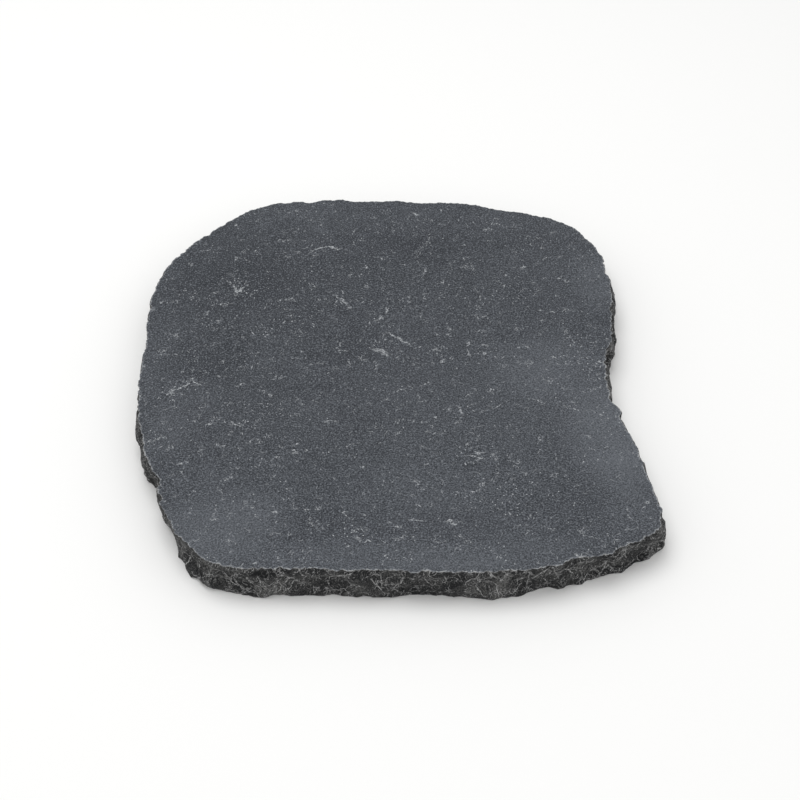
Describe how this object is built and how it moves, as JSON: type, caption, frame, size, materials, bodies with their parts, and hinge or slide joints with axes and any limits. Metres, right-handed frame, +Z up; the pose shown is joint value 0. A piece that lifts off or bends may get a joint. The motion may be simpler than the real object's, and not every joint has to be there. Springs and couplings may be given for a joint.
{
  "type": "stepping stone",
  "caption": "Irregular stepping stone of dark limestone, flat above and below with a hand-broken rim, laid in a lawn or bed to walk on.",
  "frame": {"origin": "on the flat underside, under the middle of the stone's box", "axes": "+Z up through the thickness, +Y along the longer side from the front edge to the back, +X to the right, towards the hollowed side"},
  "size_m": [0.4194, 0.4828, 0.03],
  "materials": {
    "limestone": "matt blue-grey faces with a fine pale fleck, near-black where the rim is freshly split"
  },
  "bodies": {
    "root": {"stone": "limestone"}
  },
  "joints": []
}
